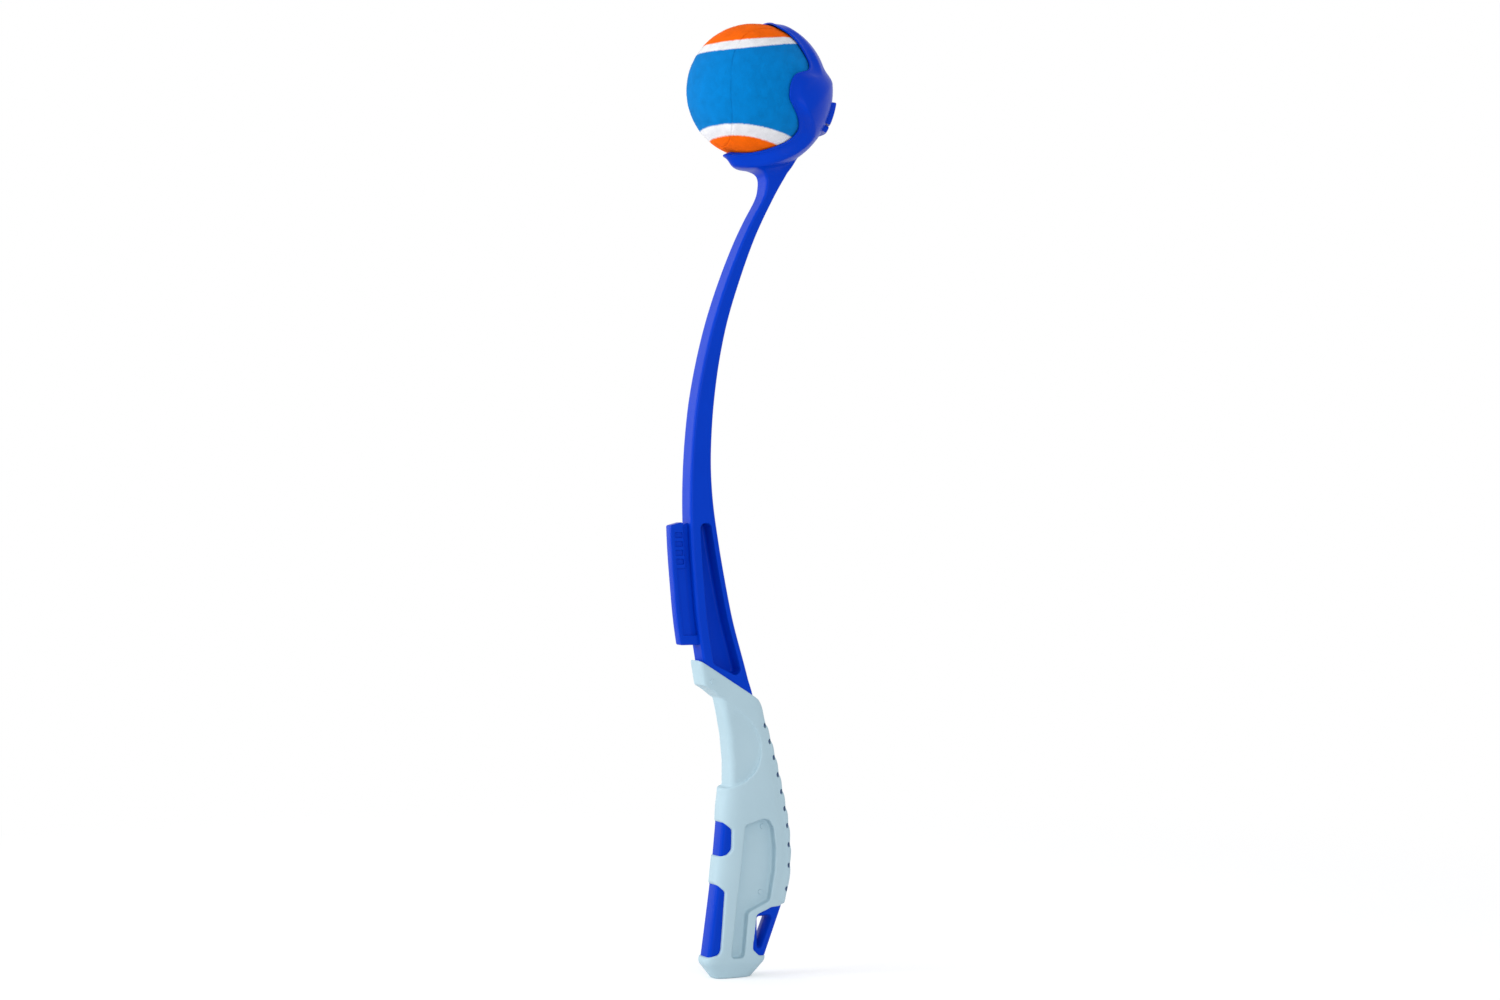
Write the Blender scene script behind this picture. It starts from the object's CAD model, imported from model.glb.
"""Dog ball thrower: a blue moulded arm with a snap cup, a soft grip and a felt ball, in a plain studio.

Each sub-assembly is a class that holds its sizes in millimetres. +Z is up, the ball leaves towards -X
and the near side is -Y. Finished pieces are in metres.
"""

import logging
import math
import random
from collections.abc import Callable, Sequence
from dataclasses import dataclass, field
from enum import Enum

import bmesh
import bpy
from bmesh.types import BMEdge, BMesh, BMVert
from bpy.types import ID, Material, Node, NodeSocket, NodeTree, Object
from mathutils import Matrix, Vector, noise
from mathutils.kdtree import KDTree


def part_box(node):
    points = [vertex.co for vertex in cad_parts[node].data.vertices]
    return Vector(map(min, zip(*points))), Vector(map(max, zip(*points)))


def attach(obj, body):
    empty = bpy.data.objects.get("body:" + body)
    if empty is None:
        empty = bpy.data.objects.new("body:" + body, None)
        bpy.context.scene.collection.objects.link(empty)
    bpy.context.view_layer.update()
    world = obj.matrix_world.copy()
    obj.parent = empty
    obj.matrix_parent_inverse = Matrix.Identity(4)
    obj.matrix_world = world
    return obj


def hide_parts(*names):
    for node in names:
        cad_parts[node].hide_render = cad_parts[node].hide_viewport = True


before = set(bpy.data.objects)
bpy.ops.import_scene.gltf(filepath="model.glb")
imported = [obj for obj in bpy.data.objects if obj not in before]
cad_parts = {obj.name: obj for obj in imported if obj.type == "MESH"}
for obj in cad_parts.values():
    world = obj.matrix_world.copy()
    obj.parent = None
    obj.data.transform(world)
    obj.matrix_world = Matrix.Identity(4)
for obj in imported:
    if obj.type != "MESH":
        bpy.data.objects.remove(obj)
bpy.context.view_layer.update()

LOG = logging.getLogger("thrower")

MM = 0.001
OVERRUN = 1
WELD = 0.0005
NEAR_ENOUGH = 0.05
CREASE = math.radians(38)
CORNER_TURN = math.radians(16)
CORNER_SHARE = 0.48
MITRE_LIMIT = 0.5
DISH_STEPS = 5
LIP_SHARE = 0.86
LIP_FLARE = 1.6
FULL_TURN = 2 * math.pi
WHITE = (1, 1, 1, 1)

Point = tuple[float, float]
Shares = tuple[tuple[float, ...], ...]
Column = tuple[float, float, float, float]
Optics = tuple[tuple[str, float], ...]
NodeInput = Node | NodeSocket | Sequence[float] | float | str


class Join(Enum):
    """How a tool changes a body."""

    ADD = "UNION"
    CUT = "DIFFERENCE"


class Slot(Enum):
    """The record's material slots."""

    PLASTIC = "thrower_plastic"
    GRIP = "grip_elastomer"
    RUBBER = "ball_rubber"
    FELT = "ball_felt"
    CEMENT = "seam_cement"


class Side(Enum):
    """The two sides of the thrower, by the sign of Y."""

    NEAR = -1
    FAR = 1


# Colour and node helpers


def linear(code: str) -> tuple[float, float, float, float]:
    """Turn an sRGB hex colour to linear.

    Args:
        code: six hex digits after a hash sign.

    Returns:
        Red, green, blue and an alpha of 1.
    """
    channels = [int(code[place:place + 2], 16) / 255 for place in (1, 3, 5)]
    red, green, blue = (c / 12.92 if c <= 0.04045 else ((c + 0.055) / 1.055) ** 2.4 for c in channels)
    return red, green, blue, 1.0


def plug(tree: NodeTree, node: Node, **values: NodeInput) -> None:
    """Set a node's properties and fill its inputs.

    Args:
        tree: the node tree.
        node: the node.
        values: a property by its own name, and an input by its name with underscores or by i and its
            number. An input takes a value, a socket, or a node, which gives its first output in use.
    """
    for name, value in values.items():
        numbered = name[1:].isdigit()
        if name.islower() and not numbered:
            setattr(node, name, value)
            continue
        socket = node.inputs[int(name[1:])] if numbered else node.inputs[name.replace("_", " ")]
        if isinstance(value, Node):
            value = next(output for output in value.outputs if output.enabled)
        if isinstance(value, NodeSocket):
            tree.links.new(value, socket)
        else:
            socket.default_value = value


def add_node(tree: NodeTree, kind: str, **values: NodeInput) -> Node:
    """Add a node with its settings and links.

    Args:
        tree: the node tree that the node goes in.
        kind: the node's type name.
        values: its properties and inputs, as plug takes them.

    Returns:
        The new node.
    """
    node = tree.nodes.new(kind)
    plug(tree, node, **values)
    return node


def new_material(name: str) -> tuple[Material, NodeTree, Node, NodeSocket]:
    """Start a material.

    Args:
        name: the material's name.

    Returns:
        The material, its node tree, its surface shader and the point, on Object coordinates.
    """
    material = bpy.data.materials.new(name)
    material.use_nodes = True
    tree = material.node_tree
    where = add_node(tree, "ShaderNodeTexCoord").outputs["Object"]
    return material, tree, tree.nodes["Principled BSDF"], where


def per_mm(size: float) -> float:
    """Give the scale of a noise whose features measure size millimetres."""
    return 1 / (size * MM)


# Curves and outlines, in millimetres


class Profile:
    """A smooth line through rows of values, each row starting with its place along the line."""

    def __init__(self, rows: Sequence[Sequence[float]]) -> None:
        """Keep the rows, in order of their places."""
        self.rows = [list(row) for row in rows]

    def at(self, place: float) -> list[float]:
        """Give the values at a place.

        Args:
            place: where along the line, held to its two ends.

        Returns:
            The values of that place.
        """
        rows = self.rows
        place = min(max(place, rows[0][0]), rows[-1][0])
        index = next(i for i in range(1, len(rows)) if place <= rows[i][0])
        low, high = rows[index - 1], rows[index]
        before = rows[index - 2] if index > 1 else high
        after = rows[index + 1] if index + 1 < len(rows) else low
        half = (high[0] - low[0]) / 2
        lead = half / abs(low[0] - before[0])
        trail = half / abs(after[0] - high[0])
        share = (place - low[0]) / (high[0] - low[0])
        square, cube = share ** 2, share ** 3
        weights = (
            -lead * cube + 2 * lead * square - lead * share,
            (1 + lead) * cube + (-1.5 - 2 * lead) * square + (-0.5 + lead) * share + 1,
            (-1 - trail) * cube + (1.5 + trail) * square + 0.5 * share,
            trail * cube - trail * square,
        )
        columns = zip(before[1:], low[1:], high[1:], after[1:])
        return [sum(weight * value for weight, value in zip(weights, column)) for column in columns]


def smooth_line(points: Sequence[Point], steps: int) -> list[Point]:
    """Run a smooth line through points.

    Args:
        points: the points that the line passes.
        steps: how many pieces the line has.

    Returns:
        The line's points, both ends among them.
    """
    line = []
    last = len(points) - 1
    for step in range(steps + 1):
        place = step / steps * last
        index = min(int(place), last - 1)
        t = place - index
        near = [points[max(0, min(last, index + offset))] for offset in (-1, 0, 1, 2)]
        line.append(tuple(
            0.5 * (2 * b + (c - a) * t + (2 * a - 5 * b + 4 * c - d) * t ** 2
                   + (3 * b - a - 3 * c + d) * t ** 3)
            for a, b, c, d in zip(*near)
        ))
    return line


def turn_of(outline: Sequence[Point]) -> float:
    """Give 1 for an outline that runs anticlockwise and -1 for one that doesn't."""
    pairs = zip(outline, [*outline[1:], outline[0]])
    return math.copysign(1, sum(a[0] * b[1] - b[0] * a[1] for a, b in pairs))


def grown(outline: Sequence[Point], distance: float) -> list[Point]:
    """Move an outline outwards, mitred at its corners.

    Args:
        outline: a closed outline.
        distance: how far out it moves, less than zero for inwards.

    Returns:
        The moved outline, with as many points.
    """
    turn = turn_of(outline)
    moved = []
    for index, point in enumerate(outline):
        here = Vector(point)
        into = (here - Vector(outline[index - 1])).normalized()
        out = (Vector(outline[(index + 1) % len(outline)]) - here).normalized()
        mitre = Vector((into.y + out.y, -into.x - out.x)).normalized()
        stretch = max(mitre.x * into.y - mitre.y * into.x, MITRE_LIMIT)
        moved.append(tuple(here + mitre * (turn * distance / stretch)))
    return moved


def run_length(run: Sequence[Vector]) -> float:
    """Give the length of a run of points."""
    return sum((there - here).length for here, there in zip(run, run[1:]))


def point_along(run: Sequence[Vector], distance: float) -> Vector:
    """Give a point on a run of points.

    Args:
        run: the points.
        distance: how far along the run the point lies.

    Returns:
        The point, or the run's end where the run is shorter.
    """
    for here, there in zip(run, run[1:]):
        step = (there - here).length
        if distance <= step:
            return here.lerp(there, distance / step)
        distance -= step
    return run[-1].copy()


def trimmed(run: Sequence[Vector], start: float, end: float) -> list[Vector]:
    """Shorten a run of points at both its ends.

    Args:
        run: the points.
        start: the length that goes at the first end.
        end: the length that goes at the last end.

    Returns:
        The shorter run.
    """
    stop = run_length(run) - end
    gone = 0.0
    middle = []
    for here, there in zip(run, run[1:-1]):
        gone += (there - here).length
        if start + NEAR_ENOUGH < gone < stop - NEAR_ENOUGH:
            middle.append(there)
    return [point_along(run, start), *middle, point_along(run, stop)]


def rounded(outline: Sequence[Point], radius: float, steps: int = 8) -> list[Point]:
    """Round an outline's corners with arcs and leave its bends as they are.

    Args:
        outline: a closed outline.
        radius: the arcs' radius, less where a corner has no room for it.
        steps: how many pieces each arc has.

    Returns:
        The outline with its arcs.
    """
    points = [Vector(point) for point in outline]
    count = len(points)
    turns = []
    for index, here in enumerate(points):
        turns.append((here - points[index - 1]).angle(points[(index + 1) % count] - here))
    corners = [index for index, turn in enumerate(turns) if turn > CORNER_TURN]
    runs = []
    for index, corner in enumerate(corners):
        span = (corners[(index + 1) % len(corners)] - corner) % count
        runs.append([points[(corner + step) % count] for step in range(span + 1)])
    room = [CORNER_SHARE * run_length(run) for run in runs]
    trims = []
    for index, corner in enumerate(corners):
        trims.append(min(radius * math.tan(turns[corner] / 2), room[index], room[index - 1]))
    kept = [trimmed(run, trims[i], trims[(i + 1) % len(corners)]) for i, run in enumerate(runs)]
    smooth = []
    for index, corner in enumerate(corners):
        start, end = kept[index - 1][-1], kept[index][0]
        pull = math.cos(turns[corner] / 2)
        for step in range(steps + 1):
            t = step / steps
            first, second, third = (1 - t) ** 2, 2 * pull * t * (1 - t), t ** 2
            smooth.append((start * first + points[corner] * second + end * third) / (first + second + third))
        smooth += kept[index][1:-1]
    return [tuple(point) for point in smooth]


def quarter(steps: int) -> list[float]:
    """Give the angles that split a quarter turn into steps, both ends among them."""
    return [math.pi / 2 * step / steps for step in range(steps + 1)]


def fillet(gap: float, radius: float) -> float:
    """Give how far a fillet stands out at a distance from the surface that it runs into."""
    near = max(radius - gap, 0)
    return radius - math.sqrt(max(radius ** 2 - near ** 2, 0))


def smoothstep(value: float, low: float, high: float) -> float:
    """Rise smoothly from 0 at low to 1 at high."""
    share = min(max((value - low) / (high - low), 0), 1)
    return share * share * (3 - 2 * share)


# Meshes


def skin(columns: int, rows: int, place: Callable[[int, int], Vector]) -> BMesh:
    """Bend a flat grid into a closed body. Open ends are filled flat.

    Args:
        columns: how many faces go round. The last column's edge meets the first's.
        rows: how many faces go along.
        place: gives the point of a column and a row.

    Returns:
        The body, facing out.
    """
    made = bmesh.new()
    bmesh.ops.create_grid(made, x_segments=columns, y_segments=rows, size=1)
    for index, vert in enumerate(made.verts):
        row, column = divmod(index, columns + 1)
        vert.co = place(column % columns, row)
    bmesh.ops.remove_doubles(made, verts=made.verts, dist=WELD)
    bmesh.ops.holes_fill(made, edges=[edge for edge in made.edges if edge.is_boundary], sides=0)
    bmesh.ops.recalc_face_normals(made, faces=made.faces)
    return made


def loft(rings: Sequence[Sequence[Vector]]) -> BMesh:
    """Skin closed rings of points that all run the same way round."""
    return skin(len(rings[0]), len(rings) - 1, lambda column, row: rings[row][column])


def thicken(made: BMesh, way: tuple[float, float, float]) -> None:
    """Pull a flat mesh out into a body."""
    pulled = bmesh.ops.extrude_face_region(made, geom=made.faces[:])["geom"]
    bmesh.ops.translate(made, vec=way, verts=[part for part in pulled if isinstance(part, BMVert)])


def round_edges(made: BMesh, edges: list[BMEdge], radius: float, segments: int = 4) -> None:
    """Round some of a body's edges.

    Args:
        made: the body.
        edges: the edges.
        radius: their new radius.
        segments: how many faces each rounded edge has.
    """
    bmesh.ops.bevel(
        made, geom=edges, offset=radius, segments=segments, affect="EDGES", profile=0.5, material=-1,
    )


def slab(
    outline: Sequence[Point], low: float, high: float, edge: float = 0, segments: int = 4,
) -> BMesh:
    """Carry an outline in X and Z across Y and round its rims.

    Args:
        outline: a closed outline.
        low: the near side's Y.
        high: the far side's Y.
        edge: the radius of the rims.
        segments: how many faces each rim has.

    Returns:
        The body, facing out.
    """
    made = bmesh.new()
    made.faces.new([made.verts.new((x, low, z)) for x, z in outline])
    thicken(made, (0, high - low, 0))
    if edge > 0:
        rims = [e for e in made.edges if abs(e.verts[0].co.y - e.verts[1].co.y) < WELD]
        round_edges(made, rims, edge, segments)
    bmesh.ops.recalc_face_normals(made, faces=made.faces)
    return made


def side_slab(outline: Sequence[Point], side: Side, inner: float, outer: float) -> BMesh:
    """Carry an outline across one side of the thrower, between two distances from the middle plane."""
    low, high = sorted((side.value * inner, side.value * outer))
    return slab(outline, low, high)


def dish(outline: Sequence[Point], levels: Sequence[tuple[float, float]]) -> BMesh:
    """Stack an outline at several levels of Y, each grown by its own distance.

    Args:
        outline: a closed outline in X and Z.
        levels: for each level its Y and how far the outline is grown there.

    Returns:
        The body, facing out.
    """
    rings = []
    for level, distance in levels:
        rings.append([Vector((x, level, z)) for x, z in grown(outline, distance)])
    return loft(rings)


def dish_levels(floor: float, top: float, root: float, lip: float) -> list[tuple[float, float]]:
    """Give the levels of a recess with a rounded root and a rounded lip.

    Args:
        floor: the Y of the recess's floor.
        top: the Y of the surface that it opens in.
        root: the radius where the wall meets the floor.
        lip: the radius where the wall meets the surface.

    Returns:
        Levels for a dish, from the floor to past the surface.
    """
    way = math.copysign(1, top - floor)
    levels = []
    for angle in quarter(DISH_STEPS):
        rise = 1 - math.sin(math.pi / 2 - angle)
        levels.append((floor + way * root * rise, -root * (1 - math.sin(angle))))
    for angle in quarter(DISH_STEPS):
        angle *= LIP_SHARE
        levels.append((top - way * lip * (1 - math.sin(angle)), lip * (1 - math.cos(angle))))
    levels.append((top + way * OVERRUN, lip * LIP_FLARE))
    return levels


def add_object(name: str, data: ID) -> Object:
    """Put a mesh, a lamp or a camera into the scene.

    Args:
        name: the object's name.
        data: what the object shows.

    Returns:
        The object.
    """
    made = bpy.data.objects.new(name, data)
    bpy.context.scene.collection.objects.link(made)
    return made


def object_of(made: BMesh, name: str) -> Object:
    """Put a body into the scene, still in millimetres.

    Args:
        made: the body, which is used up.
        name: the object's name.

    Returns:
        The object.
    """
    mesh = bpy.data.meshes.new(name)
    made.to_mesh(mesh)
    made.free()
    return add_object(name, mesh)


def apply_modifiers(body: Object) -> None:
    """Turn what a body's modifiers make into its mesh.

    Args:
        body: the body.
    """
    graph = bpy.context.evaluated_depsgraph_get()
    mesh = bpy.data.meshes.new_from_object(body.evaluated_get(graph))
    body.modifiers.clear()
    body.data = mesh


def combine(body: Object, tool: BMesh | Object, how: Join) -> None:
    """Add a tool to a body, or cut it out.

    Args:
        body: the body that changes.
        tool: the tool, which is used up.
        how: whether the tool is added or cut.
    """
    if isinstance(tool, BMesh):
        tool = object_of(tool, "tool")
    change = body.modifiers.new("combine", "BOOLEAN")
    change.operation = how.value
    change.solver = "MANIFOLD"
    change.object = tool
    apply_modifiers(body)
    bpy.data.objects.remove(tool)


def edit(body: Object, change: Callable[[BMesh], None]) -> None:
    """Open a body's mesh, change it and put it back.

    Args:
        body: the body.
        change: what changes its mesh.
    """
    made = bmesh.new()
    made.from_mesh(body.data)
    change(made)
    made.to_mesh(body.data)
    made.free()


def shade(made: BMesh) -> None:
    """Shade a mesh smooth, but for edges sharper than a crease.

    Args:
        made: the mesh.
    """
    for face in made.faces:
        face.smooth = True
    for edge in made.edges:
        edge.smooth = not edge.is_manifold or edge.calc_face_angle() < CREASE


def finish(body: Object, material: Material, slot: Slot, rides_on: str, nodes: Sequence[str]) -> None:
    """Turn a body to metres, dress it and hang it on the frame.

    Args:
        body: the body, in millimetres.
        material: its finish.
        slot: the record's slot of that finish.
        rides_on: the name of the frame's body that it moves with.
        nodes: the frame's pieces that it stands for.
    """
    body.data.transform(Matrix.Scale(MM, 4))
    edit(body, shade)
    body.data.materials.clear()
    body.data.materials.append(material)
    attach(body, rides_on)
    if nodes:
        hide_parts(*nodes)
    LOG.info("%s: %d faces", body.name, len(body.data.polygons))


# Finishes


@dataclass(frozen=True)
class Grain:
    """One layer of grain: its size, how fine it goes, how much it turns the light, and its depth."""

    size: float
    detail: float
    strength: float
    depth: float


@dataclass(frozen=True)
class Moulded:
    """A moulded surface: two tones that drift into each other, with the drift's size and detail, and
    layers of grain, the last of which varies the roughness between two values, if they are given."""

    name: str
    tones: tuple[str, str]
    drift: tuple[float, float]
    layers: tuple[Grain, ...]
    roughness: tuple[float, float] | None
    optics: Optics

    def material(self) -> Material:
        """Make the material.

        Returns:
            The material.
        """
        material, tree, surface, where = new_material(self.name)
        size, detail = self.drift
        drift = add_node(tree, "ShaderNodeTexNoise", Vector=where, Scale=per_mm(size), Detail=detail)
        first, second = (linear(tone) for tone in self.tones)
        tint = add_node(tree, "ShaderNodeMix", data_type="RGBA", i0=drift, i6=first, i7=second)
        links: dict[str, Node] = {}
        for layer in self.layers:
            grain = add_node(
                tree, "ShaderNodeTexNoise", Vector=where, Scale=per_mm(layer.size), Detail=layer.detail,
            )
            links["Normal"] = add_node(
                tree, "ShaderNodeBump", Height=grain, Strength=layer.strength,
                Distance=layer.depth * MM, **links,
            )
        if self.roughness:
            low, high = self.roughness
            links["Roughness"] = add_node(
                tree, "ShaderNodeMapRange", Value=grain, To_Min=low, To_Max=high,
            )
        plug(tree, surface, Base_Color=tint, **links, **dict(self.optics))
        return material


@dataclass(frozen=True)
class MouldedPolypropylene(Moulded):
    """Polypropylene, injection moulded in a lightly grained tool. It gives a deep even colour, a waxy
    half gloss with soft wide highlights, and a grain that only breaks up the reflections."""

    name: str = "moulded_polypropylene"
    tones: tuple[str, str] = ("#003dc5", "#0037b9")
    drift: tuple[float, float] = (28, 2)
    layers: tuple[Grain, ...] = (Grain(0.5, 3, 0.12, 0.05), Grain(9, 1, 0.1, 0.4))
    roughness: tuple[float, float] | None = (0.25, 0.37)
    optics: Optics = (("IOR", 1.49), ("Specular_IOR_Level", 0.06))


@dataclass(frozen=True)
class MouldedElastomer(Moulded):
    """Thermoplastic rubber, moulded over the core in a blasted tool. It gives a pale matt skin whose
    edges look soft, with a fine grain and a faint sheen."""

    name: str = "overmoulded_elastomer"
    tones: tuple[str, str] = ("#b2ccd7", "#a9c4cf")
    drift: tuple[float, float] = (22, 3)
    layers: tuple[Grain, ...] = (Grain(0.45, 4, 0.25, 0.08),)
    roughness: tuple[float, float] | None = (0.48, 0.64)
    optics: Optics = (
        ("IOR", 1.48), ("Specular_IOR_Level", 0.3), ("Sheen_Weight", 0.05), ("Sheen_Roughness", 0.5),
    )


@dataclass(frozen=True)
class MouldedRubber(Moulded):
    """Natural rubber, compression moulded. It gives a dull, slightly mottled dark surface."""

    name: str = "moulded_rubber"
    tones: tuple[str, str] = ("#262628", "#2b2b2d")
    drift: tuple[float, float] = (1.6, 4)
    layers: tuple[Grain, ...] = (Grain(1.6, 4, 0.3, 0.1),)
    roughness: tuple[float, float] | None = None
    optics: Optics = (("Roughness", 0.75),)


@dataclass(frozen=True)
class NeedledFelt:
    """Needled polyester and wool felt, printed in bands. It gives a matt, fibrous cloth without a
    highlight, a little mottled, with ragged borders where one colour's fibres lie over the next."""

    name: str = "needled_felt"
    middle: str = "#0079c4"
    band: str = "#e9e9ec"
    cap: str = "#fb6800"
    level: float = 1.0
    fibre: float = 0.35
    fibre_depths: tuple[float, float] = (0.9, 1.08)
    mottle: float = 4.0
    mottle_depths: tuple[float, float] = (0.94, 1.05)
    tuft: float = 1.1
    ragged: float = 0.016
    soft: float = 0.01
    optics: Optics = (
        ("Roughness", 0.95), ("Specular_IOR_Level", 0.05), ("Sheen_Weight", 0.015),
        ("Sheen_Roughness", 0.6),
    )

    def bands(self, tree: NodeTree, where: NodeSocket, ball: "FeltBall") -> NodeInput:
        """Make the bands: the middle's colour, a pale band above and below it, and the caps.

        Args:
            tree: the material's node tree.
            where: the point, on Object coordinates.
            ball: the ball that the bands lie on.

        Returns:
            What gives the colour.
        """
        centre = tuple(ball.centre * MM)
        offset = add_node(tree, "ShaderNodeVectorMath", operation="SUBTRACT", i0=where, i1=centre)
        unit = add_node(tree, "ShaderNodeVectorMath", operation="NORMALIZE", i0=offset)
        across = add_node(tree, "ShaderNodeVectorMath", operation="DOT_PRODUCT", i0=unit, i1=ball.across)
        height = add_node(tree, "ShaderNodeSeparateXYZ", Vector=unit).outputs["Z"]
        tuft = add_node(
            tree, "ShaderNodeTexNoise", Vector=where, Scale=per_mm(self.tuft), Detail=4, Roughness=0.7,
        )
        stray = add_node(
            tree, "ShaderNodeMapRange", Value=tuft, To_Min=-self.ragged, To_Max=self.ragged,
        )
        colour: NodeInput = linear(self.middle)
        for paint, upper, lower in zip((self.band, self.cap), ball.upper_borders, ball.lower_borders):
            past = []
            for (level, lean, bow), way in ((upper, 1), (lower, -1)):
                slope = add_node(
                    tree, "ShaderNodeMath", operation="MULTIPLY_ADD", i0=across, i1=bow, i2=lean,
                )
                border = add_node(
                    tree, "ShaderNodeMath", operation="MULTIPLY_ADD", i0=slope, i1=across, i2=level,
                )
                over = add_node(tree, "ShaderNodeMath", operation="SUBTRACT", i0=height, i1=border)
                past.append(add_node(tree, "ShaderNodeMath", operation="MULTIPLY", i0=over, i1=way))
            most = add_node(tree, "ShaderNodeMath", operation="MAXIMUM", i0=past[0], i1=past[1])
            inside = add_node(tree, "ShaderNodeMath", operation="ADD", i0=most, i1=stray)
            share = add_node(
                tree, "ShaderNodeMapRange", Value=inside, From_Min=-self.soft, From_Max=self.soft,
            )
            colour = add_node(
                tree, "ShaderNodeMix", data_type="RGBA", i0=share, i6=colour, i7=linear(paint),
            )
        return colour

    def material(self, ball: "FeltBall", upright: bool = False) -> Material:
        """Make the material.

        Args:
            ball: the ball that the bands lie on.
            upright: whether all of it is lit as the ball's own surface is, as fine loose fibres are.

        Returns:
            The material.
        """
        material, tree, surface, where = new_material(self.name)
        clouds, depths = [], []
        for size, detail, (dark, pale), level in (
            (self.fibre, 5, self.fibre_depths, self.level), (self.mottle, 2, self.mottle_depths, 1),
        ):
            clouds.append(add_node(
                tree, "ShaderNodeTexNoise", Vector=where, Scale=per_mm(size), Detail=detail,
            ))
            depths.append(add_node(
                tree, "ShaderNodeMapRange", Value=clouds[-1], From_Min=0.3, From_Max=0.7,
                To_Min=dark * level, To_Max=pale * level,
            ))
        depth = add_node(tree, "ShaderNodeMath", operation="MULTIPLY", i0=depths[0], i1=depths[1])
        dyed = add_node(
            tree, "ShaderNodeVectorMath", operation="SCALE", i0=self.bands(tree, where, ball),
            Scale=depth,
        )
        bump = add_node(tree, "ShaderNodeBump", Height=clouds[0], Strength=0.5, Distance=0.2 * MM)
        if upright:
            centre = tuple(ball.centre * MM)
            out = add_node(tree, "ShaderNodeVectorMath", operation="SUBTRACT", i0=where, i1=centre)
            turned = add_node(
                tree, "ShaderNodeVectorTransform", vector_type="NORMAL", convert_from="OBJECT",
                convert_to="WORLD", i0=out,
            )
            plug(tree, bump, Normal=turned)
        plug(tree, surface, Base_Color=dyed, Normal=bump, **dict(self.optics))
        return material


# The thrower's sub-assemblies


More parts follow.
